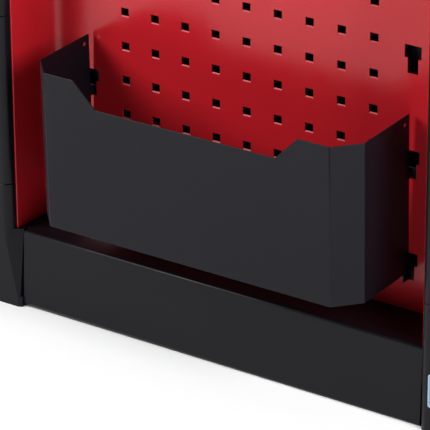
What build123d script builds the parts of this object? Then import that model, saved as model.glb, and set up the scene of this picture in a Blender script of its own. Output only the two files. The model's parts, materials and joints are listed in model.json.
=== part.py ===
from build123d import *

import os
from math import radians, sin, tan

# Workbench with drawers, in millimetres.
# X runs across the front (left is -X), -Y is the front with the drawers, +Z is up.
# The origin is on the floor, under the middle of the worktop.

# ---- cabinet: overall sizes and bands ----
BODY_W = 1000.0          # across the corner guards, X
BODY_D = 640.0           # front to rear over the corner guards, Y
PLINTH_H = 88.0          # floor to ledge
HEADER_H = 60.0          # band under the worktop
TOP_T = 40.0             # worktop thickness
TOP_OVERHANG = 50.0      # worktop past the guards, all round
TOP_CORNER_R = 8.0
TOP_EDGE_R = 3.0

# ---- drawers ----
FRONT_HEIGHTS = (200.0, 175.0, 125.0, 100.0, 100.0)   # bottom drawer first
FRONT_GAP = 2.0          # between fronts, and above and below the stack
FRONT_SIDE_GAP = 2.5     # front to corner guard
FRONT_T = 22.0           # depth of the folded front
FRONT_INSET = 2.0        # front's face behind the guards' face
FRONT_SHEET = 1.2
FRONT_LIP = 18.0         # return lips at the back of the front
TRAY_REAR_GAP = 34.8     # tray to the rear sheet
TRAY_SHEET = 1.2
TRAY_HEM = 8.0           # height of the folded rim
TRAY_LIFT = 8.0          # tray's bottom above the front's bottom
TRAY_DROP = 20.0         # tray's rim below the front's top

# ---- telescopic slides ----
SLIDE_T = 13.0           # inner side to tray wall
SLIDE_SHORT = 52.0       # slide's rear end in front of the tray's rear
SLIDE_H = 45.0
SLIDE_SHEET = 1.4
SLIDE_PLAY = 0.5         # between nested rails, top and bottom
SLIDE_ABOVE_TRAY = 34.0  # slide's middle above the tray's bottom
CHANNEL_LIP = 9.6        # depth of the outer channel's flanges
MIDDLE_WEB = 2.6         # inner side to the middle rail's web
MIDDLE_LIP = 6.4
INNER_LIP = 5.6

# ---- handles: a strip along each front ----
HANDLE_END = 30.0        # front's end to strip's end
HANDLE_H = 32.0
HANDLE_REACH = 26.0
HANDLE_LIP = 15.0
HANDLE_T = 2.6
HANDLE_BELOW_TOP = 4.0

# ---- corner columns ----
COLUMN_W = 85.0          # along X
COLUMN_D = 65.5          # along Y
GUARD_T = 3.0
GUARD_OUTER_R = 18.0
GUARD_FLANK_R = 10.0
GUARD_RETURN_R = 4.0
GUARD_RETURN = 20.0      # return beside the drawers
GUARD_FLANK = 50.0       # flank beside the side recess
GUARD_PITCH = 190.5      # height of a guard segment
GUARD_FIRST = 140.5      # height of the lowest segment
GUARD_SEAM = 0.8
GUARD_CHAMFER = 0.6
FLARE = 11.0             # foot of the rear guards' flank spread towards the plinth
FLARE_GAP = 2.5          # spread flank to the plinth's end, at FLARE_Z
FLARE_Z = 12.0           # height where the spread ends
FLARE_DEEP = 18.0        # column's face to the back of the spread
FLARE_TOP_CUT = 12.0     # outer corner cut off at the top of the spread
FLARE_LOW_CUT = 2.0      # and at its end
FLARE_LAP = 2.0          # spread carried into the guard's face
POST = 50.0
POST_T = 2.5

# ---- side recess and its perforated panel ----
RECESS = 73.0            # column's face to panel
WALL_OUT = 63.0          # panel to the hemmed edge of its upright walls
SHEET = 1.2
PANEL_BEND_R = 21.0
HEM_L = 12.0
HOLE = 10.0
HOLE_PITCH = 38.0
HOLE_FIRST = 57.0        # ledge to the middle of the lowest row
HOLE_TOP = 35.0          # least distance of the top row from the header
SLOT_FROM_WALL = 55.1    # recess wall to the middle of the T-slots
SLOT_TO_HOLE = 30.0      # least distance of a hole column from the T-slots
SLOT_FIRST = 33.6        # ledge to the foot of the lowest T-slot
SLOT_PITCH = 111.6
SLOT_STEM_W = 12.2
SLOT_STEM_H = 16.0
SLOT_HEAD_W = 19.5
SLOT_HEAD_H = 13.8

# ---- plinth, headers and pans ----
FRAME_T = 3.0
SETBACK = 8.0            # plinth's top edge and headers behind the guards' face
FOOT_SETBACK = 4.0       # plinth's foot behind the guards' face
PLINTH_RETURN = 22.0
LEDGE_UNDER = 2.0        # ledge carried inwards under the panel
EDGE_R = 3.0
FOOT_R = 5.0
PAN_T = 2.0
PAN_FLANGE = 12.0
END_LEDGE = 22.0         # depth of the front and rear ledges
INNER_SIDE_T = 1.2
INNER_SIDE_GAP = 12.6    # hook room between side panel and inner side
INNER_SIDE_FLANGE = 8.0
BACK_RECESS = 20.0
RIB_H = 3.0
RIB_W = 24.0
RIB_END = 90.0
RIBS = 3

# ---- worktop screws ----
SCREW_R = 2.5
SCREW_HEAD_R = 5.0
SCREW_HEAD_H = 3.0
SCREW_INTO_TOP = 24.0
SCREW_FIT = 0.1
SCREW_INSET_X = 60.0
SCREW_INSET_Y = 40.0

# ---- lock in the front header ----
LOCK_FROM_END = 85.0
BARREL_R = 9.0
LOCK_FIT = 0.05
HOUSING_R = 11.5
HOUSING_FLANGE_R = 14.5
HOUSING_FLANGE_T = 1.5
HOUSING_L = 27.0
CAM_W = 12.0
CAM_T = 3.0
CAM_REACH = 42.0
KEYHOLE_W = 2.2
KEYHOLE_H = 9.0

# ---- bin hung on the left panel ----
BIN_H = 173.6
BIN_Z = 42.3             # ledge to the bin's bottom, before it leans
BIN_SHEET = 1.5
BIN_PAST_SLOT = 0.2      # wall's outer face past the slots' middle
BIN_SIDE = 82.6          # straight part of the side walls
BIN_CHAMFER_OUT = 26.2
BIN_CHAMFER_IN = 24.0
BIN_GAP = 4.8            # panel to the side walls' back edge, at the top
BIN_LEAN = 1.45          # degrees, outwards at the top
BIN_BEND_R = 2.5
NOTCH_TOP = 272.0
NOTCH_DEPTH = 27.0
FLOOR_FLANGE = 10.0
FLOOR_FIT = 0.1
WALL_HOLE_R = 2.2
WALL_HOLE_DOWN = 9.0
WALL_HOLE_IN = 8.0
BIN_SLOTS = (0, 1)       # T-slots that the bin hangs in, lowest first

# ---- tongues and heads that hang the bin in the T-slots ----
TONGUE_H = 11.0
TONGUE_REST = 0.3        # slot's foot to the tongue
TONGUE_ROOT = 6.0        # overlap of the tongue with the side wall
HEAD_W = 17.0
HEAD_T = 1.5
HEAD_BEHIND = 0.5        # panel's rear face to the head

# ---- blank plate on the front left column ----
PLATE_W = 35.0
PLATE_H = 36.0
PLATE_T = 0.8
PLATE_Z = 29.0
PLATE_FROM_FLANK = 11.5
PLATE_R = 2.0

# ---- worked out from the values above ----
HALF_W = BODY_W / 2
HALF_D = BODY_D / 2
STACK_H = sum(FRONT_HEIGHTS) + FRONT_GAP * (len(FRONT_HEIGHTS) + 1)
RECESS_TOP = PLINTH_H + STACK_H
BODY_H = RECESS_TOP + HEADER_H
PANEL_X = HALF_W - RECESS                    # panel's outer face
HEM_X = PANEL_X + WALL_OUT
FLANK_Y = HALF_D - COLUMN_D                  # guard's flank
WALL_Y = FLANK_Y - 2 * SHEET                 # recess wall's inner face
SLOT_Y = WALL_Y - SLOT_FROM_WALL
OPENING_X = HALF_W - COLUMN_W                # guard's face beside the drawers
EDGE_X = HALF_W - SETBACK
EDGE_Y = HALF_D - SETBACK
PAN_X = PANEL_X - LEDGE_UNDER
PAN_Y = EDGE_Y - END_LEDGE
INNER_X = PANEL_X - SHEET - INNER_SIDE_GAP   # inner side's face to the drawers
FRONT_Y = -HALF_D + FRONT_INSET
FRONT_BACK_Y = FRONT_Y + FRONT_T
FRONT_X = OPENING_X - FRONT_SIDE_GAP
TRAY_X = INNER_X - SLIDE_T
SLIDE_Y = -PAN_Y + 2.0                       # slides' front end
BACK_Y = HALF_D - BACK_RECESS
TRAY_REAR_Y = BACK_Y - SHEET - TRAY_REAR_GAP
SLIDE_REAR_Y = TRAY_REAR_Y - SLIDE_SHORT
PLINTH_END_Y = FLANK_Y - FLARE
BIN_Y = SLOT_Y + BIN_PAST_SLOT
BIN_BACK_X = PANEL_X + BIN_GAP
BIN_TOP_Z = PLINTH_H + BIN_Z + BIN_H
LOCK_X = OPENING_X - LOCK_FROM_END
LOCK_Z = RECESS_TOP + HEADER_H / 2


def block(x0, x1, y0, y1, z0, z1):
    """Box between two corners."""
    centre = Pos((x0 + x1) / 2, (y0 + y1) / 2, (z0 + z1) / 2)
    return centre * Box(abs(x1 - x0), abs(y1 - y0), abs(z1 - z0))


def flat(points, plane=Plane.XY):
    """Flat face with straight edges through the points, on a plane."""
    return make_face(Polyline([plane.from_local_coords(p) for p in points], close=True))


def drum(radius, y0, y1, x, z):
    """Cylinder along Y."""
    return Pos(x, (y0 + y1) / 2, z) * Rot(90, 0, 0) * Cylinder(radius, abs(y1 - y0))


def mirrored(shape):
    """The same piece for the other side of the cabinet."""
    return mirror(shape, about=Plane.YZ)


def turned(shape):
    """The same piece for the other end, front for rear."""
    return mirror(shape, about=Plane.XZ)


def near(vertices, x, y):
    """The vertex of a plan outline nearest to a place."""
    return min(vertices, key=lambda v: (v.X - x) ** 2 + (v.Y - y) ** 2)


def write(name, *shapes):
    """One STEP file for a node, with each of its pieces as a solid."""
    solids = [s for shape in shapes for s in shape.solids()]
    whole = solids[0] if len(solids) == 1 else Compound(children=solids)
    whole.label = name
    export_step(whole, os.path.join("parts", name + ".step"))


# ---------------------------------------------------------------- worktop


def screw_places():
    xs = (-PAN_X + SCREW_INSET_X, 0.0, PAN_X - SCREW_INSET_X)
    ys = (-PAN_Y + SCREW_INSET_Y, PAN_Y - SCREW_INSET_Y)
    return [(x, y) for x in xs for y in ys]


def upright(radius, z0, z1, x, y):
    return Pos(x, y, (z0 + z1) / 2) * Cylinder(radius, z1 - z0)


def worktop():
    half_x = HALF_W + TOP_OVERHANG
    half_y = HALF_D + TOP_OVERHANG
    top = block(-half_x, half_x, -half_y, half_y, BODY_H, BODY_H + TOP_T)
    top = fillet(top.edges().filter_by(Axis.Z), TOP_CORNER_R)
    rims = top.faces().sort_by(Axis.Z)[0].edges() + top.faces().sort_by(Axis.Z)[-1].edges()
    top = fillet(rims, TOP_EDGE_R)
    hole_r = SCREW_R + SCREW_FIT
    holes = [upright(hole_r, BODY_H - 1, BODY_H + SCREW_INTO_TOP + 1, x, y) for x, y in screw_places()]
    return top - holes


def worktop_screws():
    head_z = BODY_H - PAN_T
    screws = []
    for x, y in screw_places():
        head = upright(SCREW_HEAD_R, head_z - SCREW_HEAD_H, head_z, x, y)
        screws.append(head + upright(SCREW_R, head_z, BODY_H + SCREW_INTO_TOP, x, y))
    return screws


# ---------------------------------------------------------------- pans, plinth and headers


def pan(z_top):
    """Sheet pan with its flanges folded down."""
    outer = block(-PAN_X, PAN_X, -PAN_Y, PAN_Y, z_top - PAN_FLANGE, z_top)
    inner = block(-PAN_X + PAN_T, PAN_X - PAN_T, -PAN_Y + PAN_T, PAN_Y - PAN_T,
                  z_top - PAN_FLANGE - 1, z_top - PAN_T)
    return outer - inner


def top_pan():
    hole_r = SCREW_R + SCREW_FIT
    holes = [upright(hole_r, BODY_H - PAN_T - 1, BODY_H + 1, x, y) for x, y in screw_places()]
    return pan(BODY_H) - holes


def plinth_section(start, edge, face):
    """Section of a plinth rail: ledge, sloping face and return on the floor."""
    outline = [
        (start, PLINTH_H), (edge, PLINTH_H), (face, 0), (face - PLINTH_RETURN, 0),
        (face - PLINTH_RETURN, FRAME_T), (face - FRAME_T, FRAME_T),
        (edge - FRAME_T, PLINTH_H - FRAME_T), (start, PLINTH_H - FRAME_T),
    ]
    section = flat(outline)
    section = fillet(near(section.vertices(), edge, PLINTH_H), EDGE_R)
    return fillet(near(section.vertices(), face, 0), FOOT_R)


def header_section(start, edge):
    """Section of a header rail: an upright face between two flanges."""
    outline = [
        (start, RECESS_TOP), (edge, RECESS_TOP), (edge, BODY_H), (start, BODY_H),
        (start, BODY_H - FRAME_T), (edge - FRAME_T, BODY_H - FRAME_T),
        (edge - FRAME_T, RECESS_TOP + FRAME_T), (start, RECESS_TOP + FRAME_T),
    ]
    section = flat(outline)
    return fillet(near(section.vertices(), edge, RECESS_TOP), EDGE_R)


def side_rail(section):
    """Rail on the right side, from a section drawn outwards and up."""
    plane = Plane(origin=(0, FLANK_Y, 0), x_dir=(1, 0, 0), z_dir=(0, -1, 0))
    return extrude(plane * section, 2 * FLANK_Y)


def plinth_side():
    """Right plinth rail; its face stops short of the rear guard's spread foot."""
    rail = side_rail(plinth_section(PAN_X, EDGE_X, HALF_W - FOOT_SETBACK))
    corner = block(HALF_W - FLARE_DEEP, HALF_W + 1, PLINTH_END_Y, FLANK_Y + 1, -1, PLINTH_H + 1)
    return rail - corner


def rear_rail(section):
    """Rail at the rear, from a section drawn outwards and up."""
    plane = Plane(origin=(-OPENING_X, 0, 0), x_dir=(0, 1, 0), z_dir=(1, 0, 0))
    return extrude(plane * section, 2 * OPENING_X)


def header_front():
    rail = turned(rear_rail(header_section(PAN_Y, EDGE_Y)))
    return rail - drum(HOUSING_R + LOCK_FIT, -EDGE_Y - 1, -EDGE_Y + FRAME_T + 1, LOCK_X, LOCK_Z)


# ---------------------------------------------------------------- corner columns


def guard_plan():
    """Plan of the rear right guard: an open shell round three sides of the column."""
    middle = Pos(OPENING_X + COLUMN_W / 2, FLANK_Y + COLUMN_D / 2)
    outer = (middle * Rectangle(COLUMN_W, COLUMN_D)).face()
    inner = (middle * Rectangle(COLUMN_W - 2 * GUARD_T, COLUMN_D - 2 * GUARD_T)).face()
    corners = (
        (HALF_W, HALF_D, GUARD_OUTER_R),
        (HALF_W, FLANK_Y, GUARD_FLANK_R),
        (OPENING_X, HALF_D, GUARD_RETURN_R),
    )
    for x, y, radius in corners:
        outer = fillet(near(outer.vertices(), x, y), radius)
        inner = fillet(near(inner.vertices(), x, y), radius - GUARD_T)
    shell = outer - inner
    open_x = HALF_W - GUARD_FLANK
    open_y = HALF_D - GUARD_RETURN
    gap_w = open_x - OPENING_X + 1
    gap_d = open_y - FLANK_Y + 1
    gap = Pos(open_x - gap_w / 2, open_y - gap_d / 2) * Rectangle(gap_w, gap_d)
    return shell - gap


def foot_outline(corner_y, corner_x, near_y, z):
    """Plan of the spread foot at one height; its outer corner is cut from corner_y to corner_x."""
    inner = HALF_W - FLARE_DEEP
    rear = FLANK_Y + GUARD_FLANK_R + FLARE_LAP
    outline = [(HALF_W, rear), (HALF_W, corner_y), (corner_x, near_y), (inner, near_y), (inner, rear)]
    return flat(outline, Plane.XY.offset(z))


def guard_foot():
    """Foot of the rear right guard's flank, spread towards the plinth."""
    near_y = PLINTH_END_Y + FLARE_GAP
    top = foot_outline(FLANK_Y + GUARD_FLANK_R, HALF_W - FLARE_TOP_CUT, near_y, PLINTH_H)
    low = foot_outline(near_y + FLARE_LOW_CUT, HALF_W - FLARE_LOW_CUT, near_y, FLARE_Z)
    base = foot_outline(near_y + FLARE_LOW_CUT, HALF_W - FLARE_LOW_CUT, PLINTH_END_Y, 0)
    return loft([low, top], ruled=True) + extrude(base, FLARE_Z)


def guard(spread_foot):
    """Rear right guard, as a stack of segments."""
    seams = [0.0]
    height = GUARD_FIRST
    while height < BODY_H - GUARD_PITCH / 2:
        seams.append(height)
        height += GUARD_PITCH
    seams.append(BODY_H)
    plan = guard_plan()
    segments = []
    for low, high in zip(seams, seams[1:]):
        z0 = low + (GUARD_SEAM / 2 if low > 0 else 0)
        z1 = high - (GUARD_SEAM / 2 if high < BODY_H else 0)
        segment = extrude(Pos(0, 0, z0) * plan, z1 - z0)
        seam_faces = [f for f, is_seam in ((segment.faces().sort_by(Axis.Z)[0], low > 0),
                                           (segment.faces().sort_by(Axis.Z)[-1], high < BODY_H)) if is_seam]
        for face in seam_faces:
            segment = chamfer(face.edges(), GUARD_CHAMFER)
        if low == 0 and spread_foot:
            segment += guard_foot()
        segments.append(segment)
    return Compound(children=[s.solid() for s in segments])


def corner_posts():
    """Square tubes inside the guards, one in each corner."""
    centre = Pos(HALF_W - GUARD_T - POST / 2, HALF_D - GUARD_T - POST / 2)
    radius = GUARD_OUTER_R - GUARD_T + 1
    tube = RectangleRounded(POST, POST, radius)
    tube -= RectangleRounded(POST - 2 * POST_T, POST - 2 * POST_T, radius - POST_T)
    post = extrude(centre * tube, BODY_H)
    pair = [post, mirrored(post)]
    return pair + [turned(p) for p in pair]


# ---------------------------------------------------------------- panels


def hole_grid():
    """Middles of the square holes, as y and z."""
    columns = int(2 * (SLOT_Y - SLOT_TO_HOLE) / HOLE_PITCH) + 1
    rows = int((STACK_H - HOLE_FIRST - HOLE_TOP) / HOLE_PITCH) + 1
    first_y = -(columns - 1) * HOLE_PITCH / 2
    first_z = PLINTH_H + HOLE_FIRST
    return [(first_y + i * HOLE_PITCH, first_z + j * HOLE_PITCH)
            for i in range(columns) for j in range(rows)]


def slot_feet():
    """Heights of the T-slots' feet."""
    count = int((STACK_H - SLOT_FIRST - SLOT_STEM_H - SLOT_HEAD_H) / SLOT_PITCH) + 1
    return [PLINTH_H + SLOT_FIRST + k * SLOT_PITCH for k in range(count)]


def panel_openings():
    """All the holes and T-slots of a side panel, drawn as y and z."""
    cuts = [Pos(y, z) * Rectangle(HOLE, HOLE) for y, z in hole_grid()]
    for foot in slot_feet():
        for y in (-SLOT_Y, SLOT_Y):
            stem = Pos(y, foot + SLOT_STEM_H / 2 + 0.5) * Rectangle(SLOT_STEM_W, SLOT_STEM_H + 1)
            head = Pos(y, foot + SLOT_STEM_H + SLOT_HEAD_H / 2) * Rectangle(SLOT_HEAD_W, SLOT_HEAD_H)
            cuts.append(stem + head)
    return cuts


def side_panel():
    """Right side panel: perforated sheet with upright walls and hemmed edges."""
    depth = HEM_X - PANEL_X
    outer = Pos(HEM_X - (depth + SHEET) / 2, 0) * Rectangle(depth + SHEET, 2 * (WALL_Y + SHEET))
    inner = Pos(PANEL_X + depth / 2 + 0.5, 0) * Rectangle(depth + 1, 2 * WALL_Y)
    outer = outer.face()
    inner = inner.face()
    for side in (-1, 1):
        outer = fillet(near(outer.vertices(), PANEL_X - SHEET, side * (WALL_Y + SHEET)), PANEL_BEND_R + SHEET)
        inner = fillet(near(inner.vertices(), PANEL_X, side * WALL_Y), PANEL_BEND_R)
    plan = outer - inner
    for side in (-1, 1):
        hem = Pos(HEM_X - HEM_L / 2, side * (WALL_Y + 1.5 * SHEET)) * Rectangle(HEM_L, SHEET)
        plan += hem
    tray = extrude(Pos(0, 0, PLINTH_H) * plan, STACK_H)
    edge = [e for e in tray.edges().filter_by(Axis.Z) if abs(e.center().X - HEM_X) < 0.01]
    tray = fillet(edge, SHEET * 0.9)
    plane = Plane(origin=(PANEL_X - SHEET - 1, 0, 0), x_dir=(0, 1, 0), z_dir=(1, 0, 0))
    tools = [extrude(plane * cut, SHEET + 2) for cut in panel_openings()]
    return tray - tools


def inner_side():
    """Right inner side, which carries the slides."""
    foot = PLINTH_H
    head = BODY_H - PAN_T
    far = INNER_X + INNER_SIDE_T + INNER_SIDE_FLANGE
    web = block(INNER_X, INNER_X + INNER_SIDE_T, -PAN_Y, PAN_Y, foot, head)
    low = block(INNER_X, far, -PAN_Y, PAN_Y, foot, foot + INNER_SIDE_T)
    high = block(INNER_X, far, -PAN_Y + PAN_T, PAN_Y - PAN_T, head - INNER_SIDE_T, head)
    side = web + low + high
    corner = block(INNER_X - 1, far + 1, PAN_Y - PAN_T, PAN_Y + 1, BODY_H - PAN_FLANGE, head + 1)
    return side - [corner, turned(corner)]


def back_panel():
    """Rear sheet with raised ribs across it."""
    sheet = block(-OPENING_X, OPENING_X, BACK_Y - SHEET, BACK_Y, PLINTH_H, RECESS_TOP)
    length = 2 * (OPENING_X - RIB_END)
    for k in range(RIBS):
        z = PLINTH_H + STACK_H * (k + 0.5) / RIBS
        plane = Plane(origin=(0, BACK_Y, z), x_dir=(-1, 0, 0), z_dir=(0, 1, 0))
        rib = extrude(plane * SlotOverall(length, RIB_W), RIB_H, taper=45)
        sheet += rib
    return sheet


# ---------------------------------------------------------------- slides and drawers


def drawer_floors():
    """Height of each drawer front's foot, bottom drawer first."""
    feet = []
    z = PLINTH_H + FRONT_GAP
    for height in FRONT_HEIGHTS:
        feet.append(z)
        z += height + FRONT_GAP
    return feet


def slide_height(foot):
    return foot + TRAY_LIFT + SLIDE_ABOVE_TRAY


def rail(web_x, lip, half_h, z, opens):
    """Folded rail of a right-hand slide; opens is -1 towards the drawer, 1 towards the cabinet."""
    sheet = SLIDE_SHEET
    y1 = SLIDE_REAR_Y
    web = block(web_x, web_x + opens * sheet, SLIDE_Y, y1, z - half_h, z + half_h)
    tip = web_x + opens * (sheet + lip)
    top = block(web_x, tip, SLIDE_Y, y1, z + half_h - sheet, z + half_h)
    low = block(web_x, tip, SLIDE_Y, y1, z - half_h, z - half_h + sheet)
    return web + top + low


def channel_rail(foot):
    return rail(INNER_X, CHANNEL_LIP, SLIDE_H / 2, slide_height(foot), -1)


def middle_rail(foot):
    half = SLIDE_H / 2 - SLIDE_SHEET - SLIDE_PLAY
    return rail(INNER_X - MIDDLE_WEB, MIDDLE_LIP, half, slide_height(foot), -1)


def inner_rail(foot):
    half = SLIDE_H / 2 - 2 * (SLIDE_SHEET + SLIDE_PLAY)
    return rail(TRAY_X, INNER_LIP, half, slide_height(foot), 1)


def drawer_front(foot, height):
    """Folded sheet front with lips round its back."""
    sheet = FRONT_SHEET
    top = foot + height
    body = block(-FRONT_X, FRONT_X, FRONT_Y, FRONT_BACK_Y, foot, top)
    face = body.faces().sort_by(Axis.Y)[0]
    body = fillet(face.edges(), FRONT_SHEET)
    hollow = block(-FRONT_X + sheet, FRONT_X - sheet, FRONT_Y + sheet, FRONT_BACK_Y - sheet,
                   foot + sheet, top - sheet)
    inset = sheet + FRONT_LIP
    window = block(-FRONT_X + inset, FRONT_X - inset, FRONT_BACK_Y - sheet - 1, FRONT_BACK_Y + 1,
                   foot + inset, top - inset)
    return body - [hollow, window]


def drawer_tray(foot, height):
    """Open tray with a folded rim."""
    z0 = foot + TRAY_LIFT
    z1 = foot + height - TRAY_DROP
    y1 = TRAY_REAR_Y
    outer = block(-TRAY_X, TRAY_X, FRONT_BACK_Y, y1, z0, z1)
    wall = TRAY_SHEET
    rim = 2 * TRAY_SHEET
    inner = block(-TRAY_X + wall, TRAY_X - wall, FRONT_BACK_Y + wall, y1 - wall, z0 + wall, z1 - TRAY_HEM)
    mouth = block(-TRAY_X + rim, TRAY_X - rim, FRONT_BACK_Y + rim, y1 - rim, z1 - TRAY_HEM - 1, z1 + 1)
    return outer - [inner, mouth]


def handle(foot, height):
    """Extruded handle strip with a finger lip, closed at both ends."""
    top = foot + height - HANDLE_BELOW_TOP
    t = HANDLE_T
    tip = HANDLE_REACH
    outline = [
        (0, top), (tip, top), (tip, top - HANDLE_LIP), (tip - t, top - HANDLE_LIP),
        (tip - t, top - t), (t, top - t), (t, top - HANDLE_H), (0, top - HANDLE_H),
    ]
    section = flat(outline)
    section = fillet(near(section.vertices(), tip, top), t + 2)
    section = fillet(near(section.vertices(), tip - t, top - t), 2)
    half = FRONT_X - HANDLE_END
    plane = Plane(origin=(half, FRONT_Y, 0), x_dir=(0, -1, 0), z_dir=(-1, 0, 0))
    strip = extrude(plane * section, 2 * half)
    low = top - HANDLE_H
    cap = flat([(0, top - 1), (tip - 2, top - 1), (tip - 2, top - HANDLE_LIP), (t, low), (0, low)])
    first = extrude(plane * cap, t)
    return strip + first + mirrored(first)


def write_drawer(number, foot, height):
    name = "drawer_%d" % number
    rails = inner_rail(foot)
    middles = middle_rail(foot)
    write(name + "_tray", drawer_tray(foot, height))
    write(name + "_front", drawer_front(foot, height))
    write(name + "_handle", handle(foot, height))
    write(name + "_inner_rails", rails, mirrored(rails))
    write(name + "_middle_rails", middles, mirrored(middles))


# ---------------------------------------------------------------- lock


def lock_housing():
    front = -EDGE_Y - HOUSING_FLANGE_T
    rear = -EDGE_Y + HOUSING_L
    body = drum(HOUSING_R, -EDGE_Y, rear, LOCK_X, LOCK_Z)
    body += drum(HOUSING_FLANGE_R, front, -EDGE_Y, LOCK_X, LOCK_Z)
    return body - drum(BARREL_R + LOCK_FIT, front - 1, rear + 1, LOCK_X, LOCK_Z)


def lock_barrel():
    front = -EDGE_Y - HOUSING_FLANGE_T
    rear = -EDGE_Y + HOUSING_L + 0.5
    keyhole = block(LOCK_X - KEYHOLE_W / 2, LOCK_X + KEYHOLE_W / 2, front - 1, front + 6,
                    LOCK_Z - KEYHOLE_H / 2, LOCK_Z + KEYHOLE_H / 2)
    return drum(BARREL_R, front, rear, LOCK_X, LOCK_Z) - keyhole


def lock_cam():
    """Cam at the rear of the barrel; it points sideways when the lock is open."""
    y0 = -EDGE_Y + HOUSING_L + 0.5
    half = CAM_W / 2
    arm = block(LOCK_X, LOCK_X + CAM_REACH - half, y0, y0 + CAM_T, LOCK_Z - half, LOCK_Z + half)
    tip = drum(half, y0, y0 + CAM_T, LOCK_X + CAM_REACH - half, LOCK_Z)
    hub = drum(BARREL_R, y0, y0 + CAM_T, LOCK_X, LOCK_Z)
    return arm + tip + hub


# ---------------------------------------------------------------- bin


def bin_plan(inset):
    """Plan outline of the bin, inset from its outer faces, on the right-hand side."""
    side = BIN_Y - inset
    front = BIN_BACK_X + BIN_SIDE + BIN_CHAMFER_OUT - inset
    # Where the inset faces meet, the chamfer's corners move along both of them.
    turn = inset * (1 - (BIN_CHAMFER_IN / (BIN_CHAMFER_IN ** 2 + BIN_CHAMFER_OUT ** 2) ** 0.5))
    shoulder = BIN_BACK_X + BIN_SIDE - turn
    lead = BIN_Y - BIN_CHAMFER_IN - turn
    outline = flat([
        (BIN_BACK_X, -side), (shoulder, -side), (front, -lead),
        (front, lead), (shoulder, side), (BIN_BACK_X, side),
    ])
    radius = BIN_BEND_R - inset if BIN_BEND_R > inset else 0.4
    for x, y in ((shoulder, side), (front, lead)):
        for end in (-1, 1):
            outline = fillet(near(outline.vertices(), x, end * y), radius)
    return outline


def leaned(shape):
    """Leans the bin out at the top, about the top of its back edges."""
    pivot = Pos(BIN_BACK_X, 0, BIN_TOP_Z)
    return pivot * Rot(0, BIN_LEAN, 0) * pivot.inverse() * shape


def tongue_feet():
    """Heights of the tongues' lower edges."""
    return [slot_feet()[k] + TONGUE_REST for k in BIN_SLOTS]


def tongue(low):
    """Tongue of the side wall at +Y, through the slot to the head's front."""
    rear = PANEL_X - SHEET - HEAD_BEHIND
    return block(rear, BIN_BACK_X + TONGUE_ROOT, BIN_Y - BIN_SHEET, BIN_Y, low, low + TONGUE_H)


def bin_wrap():
    """Side walls, chamfered corners and notched front, folded from one sheet."""
    z0 = BIN_TOP_Z - BIN_H
    ring = bin_plan(0) - bin_plan(BIN_SHEET)
    wrap = extrude(Pos(0, 0, z0) * ring, BIN_H)
    half_top = NOTCH_TOP / 2
    half_foot = half_top - NOTCH_DEPTH
    plane = Plane(origin=(BIN_BACK_X + BIN_SIDE + 1, 0, BIN_TOP_Z), x_dir=(0, 1, 0), z_dir=(1, 0, 0))
    corners = [(half_top + 1, 1), (half_foot, -NOTCH_DEPTH)]
    notch = flat(corners + [(-u, v) for u, v in reversed(corners)])
    wrap -= extrude(plane * notch, BIN_CHAMFER_OUT + 5)
    wrap -= drum(WALL_HOLE_R, -BIN_Y - 1, BIN_Y + 1, BIN_BACK_X + WALL_HOLE_IN, BIN_TOP_Z - WALL_HOLE_DOWN)
    wrap = leaned(wrap)
    tongues = [tongue(low) for low in tongue_feet()]
    return wrap + tongues + [turned(t) for t in tongues]


def bin_floor():
    """Floor of the bin, a pan with its flanges turned up inside the wrap."""
    z0 = BIN_TOP_Z - BIN_H
    outer = bin_plan(BIN_SHEET + FLOOR_FIT)
    inner = bin_plan(2 * BIN_SHEET + FLOOR_FIT)
    floor = extrude(Pos(0, 0, z0) * outer, FLOOR_FLANGE)
    hollow = extrude(Pos(0, 0, z0 + BIN_SHEET) * inner, FLOOR_FLANGE)
    behind = block(BIN_BACK_X - 1, BIN_BACK_X + BIN_SHEET, -BIN_Y, BIN_Y, z0 + BIN_SHEET, z0 + FLOOR_FLANGE)
    lip = behind & floor
    return leaned((floor - hollow) + lip)


def bin_hooks():
    """Heads welded to the tongues' ends, behind the panel."""
    front = PANEL_X - SHEET - HEAD_BEHIND
    half = HEAD_W / 2
    heads = [block(front - HEAD_T, front, SLOT_Y - half, SLOT_Y + half, low, low + TONGUE_H)
             for low in tongue_feet()]
    return heads + [turned(h) for h in heads]


# ---------------------------------------------------------------- blank plate


def blank_plate():
    """Blank plate low on the front left column."""
    y_middle = -(FLANK_Y + PLATE_FROM_FLANK + PLATE_W / 2)
    plane = Plane(origin=(-HALF_W, y_middle, PLATE_Z + PLATE_H / 2), x_dir=(0, -1, 0), z_dir=(-1, 0, 0))
    return extrude(plane * RectangleRounded(PLATE_W, PLATE_H, PLATE_R), PLATE_T)


# ---------------------------------------------------------------- writing the nodes


def write_frame():
    plinth_right = plinth_side()
    plinth_rear = rear_rail(plinth_section(PAN_Y, EDGE_Y, HALF_D - FOOT_SETBACK))
    header_side = side_rail(header_section(PAN_X, EDGE_X))
    rear_guard = guard(True)
    front_guard = turned(guard(False))
    write("worktop", worktop())
    write("worktop_screws", *worktop_screws())
    write("top_pan", top_pan())
    write("base_pan", pan(PLINTH_H))
    write("plinth_right", plinth_right)
    write("plinth_left", mirrored(plinth_right))
    write("plinth_rear", plinth_rear)
    write("plinth_front", turned(plinth_rear))
    write("header_right", header_side)
    write("header_left", mirrored(header_side))
    write("header_rear", rear_rail(header_section(PAN_Y, EDGE_Y)))
    write("header_front", header_front())
    write("guard_rear_right", rear_guard)
    write("guard_rear_left", mirrored(rear_guard))
    write("guard_front_right", front_guard)
    write("guard_front_left", mirrored(front_guard))
    write("corner_posts", *corner_posts())


def write_panels():
    panel = side_panel()
    inner = inner_side()
    channels = [channel_rail(foot) for foot in drawer_floors()]
    write("side_panel_right", panel)
    write("side_panel_left", mirrored(panel))
    write("inner_side_right", inner)
    write("inner_side_left", mirrored(inner))
    write("back_panel", back_panel())
    write("slide_channels_right", *channels)
    write("slide_channels_left", *[mirrored(c) for c in channels])


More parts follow.
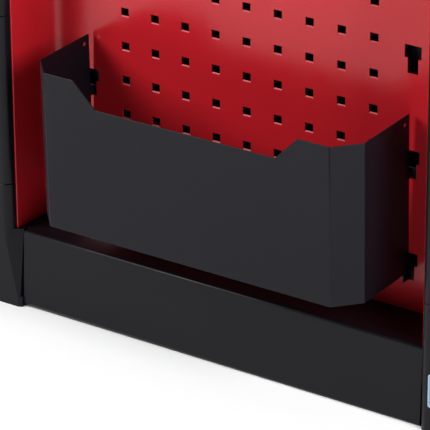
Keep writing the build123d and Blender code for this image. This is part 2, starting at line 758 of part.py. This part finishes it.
def write_fittings():
    write("blank_plate", blank_plate())
    write("lock_housing", lock_housing())
    write("lock_barrel", lock_barrel())
    write("lock_cam", lock_cam())
    write("bin_wrap", mirrored(bin_wrap()))
    write("bin_floor", mirrored(bin_floor()))
    write("bin_hooks", *[mirrored(h) for h in bin_hooks()])


os.makedirs("parts", exist_ok=True)
write_frame()
write_panels()
write_fittings()
for index, (foot, height) in enumerate(zip(drawer_floors(), FRONT_HEIGHTS)):
    write_drawer(len(FRONT_HEIGHTS) - index, foot, height)
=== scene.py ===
import json
import math

import bmesh
import bpy
from mathutils import Matrix, Quaternion, Vector


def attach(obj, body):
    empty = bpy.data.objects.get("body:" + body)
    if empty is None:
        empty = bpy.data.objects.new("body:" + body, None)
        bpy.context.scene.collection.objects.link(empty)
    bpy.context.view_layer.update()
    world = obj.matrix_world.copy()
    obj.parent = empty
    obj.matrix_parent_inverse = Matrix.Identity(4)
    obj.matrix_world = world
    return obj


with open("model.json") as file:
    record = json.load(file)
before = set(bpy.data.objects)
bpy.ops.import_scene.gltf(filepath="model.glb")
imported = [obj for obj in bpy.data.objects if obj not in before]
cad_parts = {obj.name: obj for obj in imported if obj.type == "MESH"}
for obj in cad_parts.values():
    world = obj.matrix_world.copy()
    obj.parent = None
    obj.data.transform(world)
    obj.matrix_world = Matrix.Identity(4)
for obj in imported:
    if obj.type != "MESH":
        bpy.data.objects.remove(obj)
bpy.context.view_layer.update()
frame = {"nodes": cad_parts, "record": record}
NODES = frame["nodes"]
SCENE = bpy.context.scene


def box_of(name):
    """Opposite corners of one CAD node's box, in metres."""
    corners = [NODES[name].matrix_world @ Vector(c) for c in NODES[name].bound_box]
    return [[pick(c[axis] for c in corners) for axis in range(3)] for pick in (min, max)]


# ---------------------------------------------------------------- node helpers


class Nodes:
    """Short hand for building a material's node tree."""

    def __init__(self, name):
        self.material = bpy.data.materials.new(name)
        self.material.use_nodes = True
        self.tree = self.material.node_tree
        self.shader = self.tree.nodes["Principled BSDF"]

    def add(self, kind, **values):
        node = self.tree.nodes.new(kind)
        for key, value in values.items():
            setattr(node, key, value)
        return node

    def link(self, source, target):
        self.tree.links.new(source, target)

    def set(self, **values):
        """Constants on the shader's own sockets."""
        for key, value in values.items():
            self.shader.inputs[key.replace("_", " ")].default_value = value

    def place(self, scale=(1, 1, 1)):
        """Object coordinates, in metres, stretched by scale."""
        coords = self.add("ShaderNodeTexCoord")
        mapping = self.add("ShaderNodeMapping")
        mapping.inputs["Scale"].default_value = scale
        self.link(coords.outputs["Object"], mapping.inputs["Vector"])
        return mapping.outputs["Vector"]

    def noise(self, vector, scale, detail=3.0, roughness=0.5):
        node = self.add("ShaderNodeTexNoise")
        node.inputs["Scale"].default_value = scale
        node.inputs["Detail"].default_value = detail
        node.inputs["Roughness"].default_value = roughness
        self.link(vector, node.inputs["Vector"])
        return node.outputs["Fac"]

    def ramp(self, value, *stops):
        """Colour ramp over a value, from (position, colour) stops."""
        node = self.add("ShaderNodeValToRGB")
        elements = node.color_ramp.elements
        while len(elements) < len(stops):
            elements.new(0.5)
        for element, (place, colour) in zip(elements, stops):
            element.position = place
            element.color = (*colour, 1.0)
        self.link(value, node.inputs["Fac"])
        return node.outputs["Color"]

    def spread(self, value, low, high, start=0.3, end=0.7):
        """Maps a noise value from start..end to low..high."""
        node = self.add("ShaderNodeMapRange")
        node.inputs["From Min"].default_value = start
        node.inputs["From Max"].default_value = end
        node.inputs["To Min"].default_value = low
        node.inputs["To Max"].default_value = high
        self.link(value, node.inputs["Value"])
        return node.outputs["Result"]

    def mix(self, factor, first, second, blend="MIX"):
        """Mixes two colours; each argument is a socket or a constant."""
        node = self.add("ShaderNodeMix", data_type="RGBA", blend_type=blend)
        for socket, value in (("Factor", factor), ("A", first), ("B", second)):
            if isinstance(value, bpy.types.NodeSocket):
                self.link(value, node.inputs[socket])
            else:
                node.inputs[socket].default_value = value
        return node.outputs["Result"]

    def bump(self, *layers):
        """Bump from (height, strength, distance) layers, the first one lowest."""
        normal = None
        for height, strength, distance in layers:
            node = self.add("ShaderNodeBump")
            node.inputs["Strength"].default_value = strength
            node.inputs["Distance"].default_value = distance
            self.link(height, node.inputs["Height"])
            if normal is not None:
                self.link(normal, node.inputs["Normal"])
            normal = node.outputs["Normal"]
        self.link(normal, self.shader.inputs["Normal"])


DRIFT_SCALE = 2.5        # paint's slow colour drift
WEAR_SCALE = 38.0        # patches that hands and cloths leave more or less glossy
PEEL_SCALE = 260.0       # orange-peel waves of gloss paint


def painted(name, dark, light, roughness, grain, depth, peel=0.0, gloss=0.5, coat=0.0):
    """Stoved paint: slight colour drift, fine grain and, on gloss paint, an orange-peel skin."""
    n = Nodes(name)
    place = n.place()
    drift = n.noise(place, DRIFT_SCALE, 4.0)
    n.link(n.ramp(drift, (0.35, dark), (0.65, light)), n.shader.inputs["Base Color"])
    wear = n.noise(place, WEAR_SCALE, 5.0, 0.6)
    n.link(n.spread(wear, roughness - 0.04, roughness + 0.05), n.shader.inputs["Roughness"])
    layers = [(n.noise(place, grain, 2.0), 0.35, depth)]
    if peel:
        layers.append((n.noise(place, PEEL_SCALE, 1.0), 0.25, peel))
    n.bump(*layers)
    n.set(Specular_IOR_Level=gloss, Coat_Weight=coat, Coat_Roughness=0.12)
    return n.material


SPANGLE_SCALE = 240.0
ROLLING_STRETCH = (700.0, 8.0, 700.0)


def zinc_plate():
    """Passivated zinc: pale patches with a faint yellow and blue cast, and rolling marks along Y."""
    n = Nodes("zinc_plate")
    patches = n.add("ShaderNodeTexVoronoi")
    patches.inputs["Scale"].default_value = SPANGLE_SCALE
    n.link(n.place(), patches.inputs["Vector"])
    tone = n.add("ShaderNodeSeparateColor")
    n.link(patches.outputs["Color"], tone.inputs["Color"])
    cast = n.ramp(tone.outputs["Red"], (0.0, (0.50, 0.51, 0.53)), (0.5, (0.54, 0.545, 0.54)),
                  (1.0, (0.575, 0.565, 0.54)))
    n.link(cast, n.shader.inputs["Base Color"])
    rolled = n.noise(n.place(ROLLING_STRETCH), 1.0, 3.0)
    n.link(n.spread(rolled, 0.30, 0.42), n.shader.inputs["Roughness"])
    n.bump((rolled, 0.15, 0.00002))
    n.set(Metallic=1.0)
    return n.material


SMUDGE_SCALE = 30.0


def brushed(name, dark, light, smooth, rough, stretch):
    """Bare metal with smudges in its shine, and fine marks drawn out where the stretch is smaller."""
    n = Nodes(name)
    strokes = n.noise(n.place(stretch), 1.0, 4.0, 0.6)
    n.link(n.ramp(strokes, (0.3, dark), (0.7, light)), n.shader.inputs["Base Color"])
    smudge = n.noise(n.place(), SMUDGE_SCALE, 4.0)
    n.link(n.spread(smudge, smooth, rough), n.shader.inputs["Roughness"])
    n.bump((strokes, 0.25, 0.00003))
    n.set(Metallic=1.0)
    return n.material


STAVE_L = 0.46
STAVE_W = 0.047
GLUE_LINE = 0.0004
STAVE_SHIFT = (7.0, 3.0, 5.0)            # moves each stave to another part of the tree
RING_STRETCH = (0.9, 22.0, 22.0)
GRAIN_STRETCH = (5.0, 190.0, 190.0)
FLECK_STRETCH = (45.0, 520.0, 520.0)
FLECK_BROWN = (0.25, 0.115, 0.05, 1.0)
GLUE_BROWN = (0.20, 0.095, 0.045, 1.0)


def stave_pattern(n, place):
    """Staves along X with glue lines between them; each has its own grey value."""
    staves = n.add("ShaderNodeTexBrick", offset=0.37, offset_frequency=2, squash=1.35, squash_frequency=3)
    sizes = {"Scale": 1.0, "Brick Width": STAVE_L, "Row Height": STAVE_W, "Mortar Size": GLUE_LINE,
             "Mortar Smooth": 0.2, "Bias": 0.0}
    for key, value in sizes.items():
        staves.inputs[key].default_value = value
    for key, grey in (("Color1", 0.0), ("Color2", 1.0), ("Mortar", 0.5)):
        staves.inputs[key].default_value = (grey, grey, grey, 1.0)
    n.link(place, staves.inputs["Vector"])
    return staves.outputs["Color"], staves.outputs["Fac"]


def beech():
    """Oiled solid beech glued up from staves, with growth rings, fine grain and ray flecks."""
    n = Nodes("oiled_beech")
    place = n.place()
    stave, glue = stave_pattern(n, place)
    shifted = n.add("ShaderNodeVectorMath", operation="MULTIPLY_ADD")
    n.link(stave, shifted.inputs[0])
    shifted.inputs[1].default_value = STAVE_SHIFT
    n.link(place, shifted.inputs[2])

    def grown(stretch, scale, detail):
        mapping = n.add("ShaderNodeMapping")
        mapping.inputs["Scale"].default_value = stretch
        n.link(shifted.outputs[0], mapping.inputs["Vector"])
        return n.noise(mapping.outputs["Vector"], scale, detail, 0.55)

    rings = grown(RING_STRETCH, 2.2, 4.0)
    grain = grown(GRAIN_STRETCH, 2.0, 3.0)
    flecks = grown(FLECK_STRETCH, 2.0, 1.0)

    ringed = n.ramp(rings, (0.25, (0.44, 0.245, 0.115)), (0.5, (0.53, 0.32, 0.165)),
                    (0.75, (0.60, 0.385, 0.215)))
    stave_tone = n.ramp(stave, (0.0, (0.86, 0.82, 0.78)), (1.0, (1.08, 1.06, 1.04)))
    grain_tone = n.ramp(grain, (0.35, (0.86, 0.83, 0.80)), (0.6, (1.0, 1.0, 1.0)))
    wood = n.mix(1.0, ringed, stave_tone, "MULTIPLY")
    wood = n.mix(1.0, wood, grain_tone, "MULTIPLY")
    wood = n.mix(n.spread(flecks, 0.0, 0.5, 0.64, 0.72), wood, FLECK_BROWN)
    wood = n.mix(glue, wood, GLUE_BROWN)
    n.link(wood, n.shader.inputs["Base Color"])
    n.link(n.spread(grain, 0.50, 0.62), n.shader.inputs["Roughness"])
    n.bump((grain, 0.3, 0.00008), (flecks, 0.2, 0.00006))
    n.set(Specular_IOR_Level=0.28)
    return n.material


FILM_MARGIN = 0.0012
MARGIN_BLUE = (0.30, 0.42, 0.60, 1.0)


def printed_film():
    """Blank blue film on the small plate, with a paler margin."""
    n = Nodes("blank_film")
    place = n.add("ShaderNodeSeparateXYZ")
    n.link(n.place(), place.inputs["Vector"])

    def math_node(operation, first, second=None):
        node = n.add("ShaderNodeMath", operation=operation)
        n.link(first, node.inputs[0])
        if isinstance(second, float):
            node.inputs[1].default_value = second
        elif second is not None:
            n.link(second, node.inputs[1])
        return node.outputs[0]

    def in_margin(axis):
        middle = (low[axis] + high[axis]) / 2
        reach = (high[axis] - low[axis]) / 2 - FILM_MARGIN
        away = math_node("ABSOLUTE", math_node("SUBTRACT", place.outputs[axis], middle))
        return math_node("GREATER_THAN", away, reach)

    low, high = box_of("blank_plate")
    margin = math_node("MAXIMUM", in_margin(1), in_margin(2))
    inked = n.ramp(n.noise(n.place(), 60.0, 3.0), (0.3, (0.15, 0.27, 0.47)), (0.7, (0.18, 0.31, 0.52)))
    n.link(n.mix(margin, inked, MARGIN_BLUE), n.shader.inputs["Base Color"])
    grain = n.noise(n.place(), 500.0)
    n.link(n.spread(grain, 0.25, 0.4), n.shader.inputs["Roughness"])
    n.bump((grain, 0.2, 0.00002))
    return n.material


RED = painted("red_enamel", (0.40, 0.010, 0.016), (0.44, 0.013, 0.020), 0.19, 900.0, 0.00004,
              peel=0.0001, gloss=0.32)
# Lighter, pinker copy of the red enamel for the hole lips: a painted highlight on the rims, whose real paint
# is the same red.
RIM_HIGHLIGHT_RED = painted("punched_edge_enamel", (0.42, 0.020, 0.030), (0.46, 0.026, 0.036), 0.46, 1200.0, 0.00003,
                  gloss=0.36)
BLACK = painted("black_powder_coat", (0.0043, 0.0043, 0.0066), (0.0058, 0.0058, 0.0087), 0.33, 1500.0,
                0.00010, gloss=0.17)
BIN = painted("bin_powder_coat", (0.0043, 0.0041, 0.0068), (0.0058, 0.0055, 0.0090), 0.36, 1700.0, 0.00008,
              gloss=0.17)
GREY = painted("tray_powder_coat", (0.25, 0.26, 0.28), (0.30, 0.31, 0.33), 0.42, 1500.0, 0.0001)
RUBBER = painted("mat_rubber", (0.018, 0.018, 0.020), (0.026, 0.026, 0.028), 0.72, 2200.0, 0.00012,
                 gloss=0.35)
CARD = painted("label_card", (0.72, 0.72, 0.70), (0.80, 0.80, 0.78), 0.55, 1800.0, 0.00003, coat=0.3)
HOLDER = painted("label_holder", (0.030, 0.031, 0.033), (0.040, 0.041, 0.044), 0.35, 1200.0, 0.00003)
ZINC = zinc_plate()
STEEL = brushed("bright_steel", (0.55, 0.55, 0.56), (0.68, 0.68, 0.69), 0.12, 0.24,
                (300.0, 300.0, 300.0))
GRIP = brushed("anodised_strip", (0.36, 0.37, 0.39), (0.50, 0.51, 0.53), 0.26, 0.40,
               (5.0, 1600.0, 1600.0))
CHROME = brushed("polished_chrome", (0.68, 0.68, 0.70), (0.80, 0.80, 0.82), 0.06, 0.16,
                 (260.0, 260.0, 260.0))
PLATE = printed_film()
WOOD = beech()

BY_SLOT = {
    "red_panel": RED, "front_red": RED, "black_frame": BLACK, "bin_paint": BIN, "tray_grey": GREY,
    "zinc": ZINC, "grip_metal": GRIP, "lock_chrome": CHROME, "plate_blue": PLATE, "worktop_wood": WOOD,
}

# ---------------------------------------------------------------- CAD nodes: finish and softened edges

# Rounds in metres, by a word that the names of the sheet parts hold.
EDGE_WIDTHS = {
    "side_panel": 0.00058, "bin_wrap": 0.0006, "bin_floor": 0.0004, "bin_hooks": 0.0004, "plinth": 0.0008,
    "header": 0.0008, "tray": 0.0005, "handle": 0.0005, "inner_rails": 0.0003, "middle_rails": 0.0003,
    "slide_channels": 0.0003, "lock_cam": 0.0004, "inner_side": 0.0004, "back_panel": 0.0004,
}
EDGE_SEGMENTS = 2
SHARP_TURN = math.radians(38.0)
WELD_REACH = 0.000002


def soften(node, width):
    """Small round on every sharp edge, so that cut sheet edges catch the light."""
    weld = node.modifiers.new("weld", "WELD")
    weld.merge_threshold = WELD_REACH
    bevel = node.modifiers.new("edges", "BEVEL")
    bevel.width = width
    bevel.segments = EDGE_SEGMENTS
    bevel.limit_method = "ANGLE"
    bevel.angle_limit = SHARP_TURN
    bevel.harden_normals = True


for part in frame["record"]["subparts"]:
    node = NODES[part["node"]]
    node.data.materials.clear()
    node.data.materials.append(BY_SLOT[part["material_slot"]])
    for key, width in EDGE_WIDTHS.items():
        if key in part["node"]:
            soften(node, width)

# ---------------------------------------------------------------- added pieces: helpers

X, Y, Z = range(3)


def piece(name, mesh, body, material):
    """Adds a mesh that rides on a body of the frame."""
    thing = bpy.data.objects.new(name, mesh)
    SCENE.collection.objects.link(thing)
    mesh.materials.append(material)
    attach(thing, body)


def from_bmesh(name, bm):
    bmesh.ops.recalc_face_normals(bm, faces=bm.faces)
    mesh = bpy.data.meshes.new(name)
    bm.to_mesh(mesh)
    bm.free()
    return mesh


def extruded(bm, outline, axis, start, end):
    """Closed prism from an outline of pairs, drawn across one axis."""
    rings = []
    for place in (start, end):
        ring = []
        for pair in outline:
            point = list(pair)
            point.insert(axis, place)
            ring.append(bm.verts.new(point))
        rings.append(ring)
    first, last = rings
    for k in range(len(outline)):
        after = (k + 1) % len(outline)
        bm.faces.new((first[k], first[after], last[after], last[k]))
    bm.faces.new(first)
    bm.faces.new(last)


# ---------------------------------------------------------------- lips in the side panels' square holes

PANEL_FACE = 0.427       # perforated faces either side of the middle
HOLE = 0.010
HOLE_PITCH = 0.038
HOLE_COLUMNS = 9
HOLE_ROWS = 17
LOW_ROW_Z = 0.145        # middle of the lowest row
LIP_RISE = 0.0013        # lip's crown over the hole's foot
LIP_SUNK = 0.0006        # hole's foot down to the lip's underside
LIP_DEEP = 0.0012        # the sheet's thickness
LIP_SETBACK = 0.0001     # panel's face to the lip
LIP_NOSE = 0.0001        # lip's front edge over the hole's foot
LIP_CROWN = 0.0002       # level part at the rear


def hole_lips(name, inward):
    """Turned-in lips that the punch leaves along the foot of every square hole in one side panel."""
    face = -inward * PANEL_FACE
    profile = [(LIP_SETBACK, -LIP_SUNK), (LIP_SETBACK, LIP_NOSE), (LIP_DEEP - LIP_CROWN, LIP_RISE),
               (LIP_DEEP, LIP_RISE), (LIP_DEEP, -LIP_SUNK)]
    bm = bmesh.new()
    for column in range(HOLE_COLUMNS):
        middle = (column - (HOLE_COLUMNS - 1) / 2) * HOLE_PITCH
        for row in range(HOLE_ROWS):
            foot = LOW_ROW_Z + row * HOLE_PITCH - HOLE / 2
            outline = [(face + inward * depth, foot + rise) for depth, rise in profile]
            extruded(bm, outline, Y, middle - HOLE / 2, middle + HOLE / 2)
    # The lips take the lighter red copy: painted highlight along the foot of every hole.
    piece(name, from_bmesh(name, bm), "cabinet", RIM_HIGHLIGHT_RED)


# ---------------------------------------------------------------- drawer mats

MAT_LIFT = 0.0013        # opening's floor down to the mat's underside
MAT_LAP_X = 0.001        # mat past the opening's sides
MAT_LAP_Y = 0.0012       # mat past the opening's front and rear
MAT_T = 0.0024
MAT_RIDGE = 0.0008
MAT_PITCH = 0.006
# One ridge: shares of the pitch along Y, and of the ridge's height down from its crown.
RIDGE_SHAPE = ((0.0, 1.0), (0.22, 1.0), (0.36, 0.0), (0.74, 0.0), (0.88, 1.0))


def drawer_mat(number, low, high):
    """Ribbed mat lying on the drawer's floor."""
    foot = low[Z] - MAT_LIFT
    crown = foot + MAT_T
    y0 = low[Y] - MAT_LAP_Y
    y1 = high[Y] + MAT_LAP_Y
    count = int((y1 - y0) / MAT_PITCH)
    pitch = (y1 - y0) / count
    outline = [(y1, foot), (y0, foot)]
    for k in range(count):
        for along, drop in RIDGE_SHAPE:
            outline.append((y0 + k * pitch + along * pitch, crown - drop * MAT_RIDGE))
    outline.append((y1, crown - MAT_RIDGE))
    bm = bmesh.new()
    extruded(bm, outline, X, low[X] - MAT_LAP_X, high[X] + MAT_LAP_X)
    name = "drawer_%d_mat" % number
    piece(name, from_bmesh(name, bm), "drawer_%d" % number, RUBBER)


# ---------------------------------------------------------------- label holders on the handles

HANDLE_LIP = 0.015
LABEL_FOOT = 0.0004      # handle lip's lower edge to the holder
LABEL_END = 0.004        # handle's end to the holder's end
LABEL_H = 0.0092
LABEL_T = 0.0005
RIM = 0.0009             # height and depth of the holder's rims
RIM_SLOPE = 1.6 * RIM    # holder's edge to the inner end of the rim's slope
CARD_EDGE = 1.7 * RIM    # holder's edge to the card
CARD_T = 0.00035
CARD_W = 0.110


def handle_label(number):
    """Label holder along the handle's lip, with a blank card in the middle."""
    low, high = box_of("drawer_%d_handle" % number)
    body = "drawer_%d" % number
    front = low[Y]
    inner = front - LABEL_T
    foot = high[Z] - HANDLE_LIP + LABEL_FOOT
    top = foot + LABEL_H
    outline = [(front, foot), (inner - RIM, foot), (inner - RIM, foot + RIM), (inner, foot + RIM_SLOPE),
               (inner, top - RIM_SLOPE), (inner - RIM, top - RIM), (inner - RIM, top), (front, top)]
    bm = bmesh.new()
    extruded(bm, outline, X, low[X] + LABEL_END, high[X] - LABEL_END)
    name = "drawer_%d_label_holder" % number
    piece(name, from_bmesh(name, bm), body, HOLDER)

    card = [(inner, foot + CARD_EDGE), (inner - CARD_T, foot + CARD_EDGE), (inner - CARD_T, top - CARD_EDGE),
            (inner, top - CARD_EDGE)]
    bm = bmesh.new()
    extruded(bm, card, X, -CARD_W / 2, CARD_W / 2)
    name = "drawer_%d_label_card" % number
    piece(name, from_bmesh(name, bm), body, CARD)


# ---------------------------------------------------------------- ball cages in the slides

RAIL_WEB = 0.0014
CAGE_T = 0.0008
CAGE_H = 0.022
CAGE_GAP = 0.0002        # rail's web to the cage
CAGE_BACK = 0.0001       # rail's web to the cage's back
CAGE_FOLD = 0.0007
CAGE_FROM_FRONT = 0.30   # rail's front end to the cage
CAGE_FROM_REAR = 0.012
BALL_R = 0.0019
BALL_PITCH = 0.011
BALL_INSET = 0.0035      # cage's edge to the middle of the balls
BALL_SHOWN = 0.55        # ball's width over its diameter, flattened to what stands out of the cage


def ball_cages(number):
    """Ball cages lying in both middle rails of one drawer, with their two rows of balls."""
    low, high = box_of("drawer_%d_middle_rails" % number)
    body = "slide_%d" % number
    middle = (low[Z] + high[Z]) / 2
    half = CAGE_H / 2
    start = low[Y] + CAGE_FROM_FRONT
    end = high[Y] - CAGE_FROM_REAR
    count = int((end - start) / BALL_PITCH)
    flattened = Matrix.Diagonal((BALL_SHOWN, 1, 1, 1))
    cages = bmesh.new()
    balls = bmesh.new()
    for side, web in ((-1, low[X] + RAIL_WEB), (1, high[X] - RAIL_WEB)):
        face = web - side * (CAGE_T + CAGE_GAP)
        rim = web - side * CAGE_GAP
        back = web - side * CAGE_BACK
        outline = [(rim, middle - half), (face, middle - half + CAGE_FOLD), (face, middle + half - CAGE_FOLD),
                   (rim, middle + half), (back, middle + half), (back, middle - half)]
        extruded(cages, outline, Y, start, end)
        for k in range(count):
            for up in (-1, 1):
                spot = Vector((face, start + (k + 0.5) * BALL_PITCH, middle + up * (half - BALL_INSET)))
                place = Matrix.Translation(spot) @ flattened
                bmesh.ops.create_icosphere(balls, subdivisions=2, radius=BALL_R, matrix=place)
    name = "drawer_%d_ball_cages" % number
    piece(name, from_bmesh(name, cages), body, ZINC)

    name = "drawer_%d_balls" % number
    mesh = from_bmesh(name, balls)
    for face in mesh.polygons:
        face.use_smooth = True
    piece(name, mesh, body, STEEL)


# ---------------------------------------------------------------- added pieces: placing

DRAWERS = 5

hole_lips("hole_lips_left", 1)
hole_lips("hole_lips_right", -1)
insides = {opening["name"]: opening["box_m"] for opening in frame["record"]["physics"]["openings"]}
for number in range(1, DRAWERS + 1):
    drawer_mat(number, *insides["drawer_%d_inside" % number])
for number in range(1, DRAWERS + 1):
    handle_label(number)
    ball_cages(number)

# ---------------------------------------------------------------- stage and light

FLOOR_SIZE = 24.0
WORLD_STRENGTH = 0.12
LIT_SPOT = (-0.5, 0.0, 0.25)         # left side of the cabinet, above the plinth
KEY_SIZE = (1.1, 1.1)


def pale_floor():
    """Matt floor paint with a faint drift."""
    n = Nodes("pale_floor")
    drift = n.noise(n.place(), 0.6, 2.0)
    n.link(n.ramp(drift, (0.3, (0.97, 0.97, 0.97)), (0.7, (0.99, 0.99, 0.99))), n.shader.inputs["Base Color"])
    n.set(Roughness=0.9)
    return n.material


def stage_floor(name, size, material):
    """Square floor under the part."""
    mesh = bpy.data.meshes.new(name)
    half = size / 2
    corners = [(-half, -half, 0), (half, -half, 0), (half, half, 0), (-half, half, 0)]
    mesh.from_pydata(corners, [], [(0, 1, 2, 3)])
    thing = bpy.data.objects.new(name, mesh)
    SCENE.collection.objects.link(thing)
    mesh.materials.append(material)


def area_light(name, place, target, size, watts):
    """White soft box that the camera doesn't see."""
    data = bpy.data.lights.new(name, "AREA")
    data.shape = "RECTANGLE"
    data.size, data.size_y = size
    data.energy = watts
    light = bpy.data.objects.new(name, data)
    SCENE.collection.objects.link(light)
    light.location = place
    light.visible_camera = False
    towards = Vector(target) - Vector(place)
    light.rotation_euler = towards.to_track_quat("-Z", "Y").to_euler()


stage_floor("floor", FLOOR_SIZE, pale_floor())

world = bpy.data.worlds.new("studio")
SCENE.world = world
world.use_nodes = True
world.node_tree.nodes["Background"].inputs["Color"].default_value = (1, 1, 1, 1)
world.node_tree.nodes["Background"].inputs["Strength"].default_value = WORLD_STRENGTH

area_light("key_left", (-2.12, 1.62, 1.47), LIT_SPOT, KEY_SIZE, 71.0)
area_light("key_right", (-1.09, -2.22, 1.47), LIT_SPOT, KEY_SIZE, 61.0)
area_light("fill", (2.8, -3.2, 2.4), (0.0, 0.0, 0.4), (2.4, 1.8), 90.0)

# ---------------------------------------------------------------- camera

CAMERA_PLACE = Vector((-3.0566, -1.7822, 1.5820))
CAMERA_TARGET = Vector((-0.4500, 0.0242, 0.1458))     # inside the bin, near its floor
CAMERA_ROLL = math.radians(-0.376)
LENS_MM = 281.8
SENSOR_MM = 36.0

camera_data = bpy.data.cameras.new("camera")
camera_data.sensor_width = SENSOR_MM
camera_data.lens = LENS_MM
camera = bpy.data.objects.new("camera", camera_data)
SCENE.collection.objects.link(camera)
SCENE.camera = camera
camera.location = CAMERA_PLACE
level = (CAMERA_TARGET - CAMERA_PLACE).to_track_quat("-Z", "Y")
camera.rotation_euler = (level @ Quaternion((0, 0, 1), CAMERA_ROLL)).to_euler()

SCENE.view_settings.view_transform = "Standard"
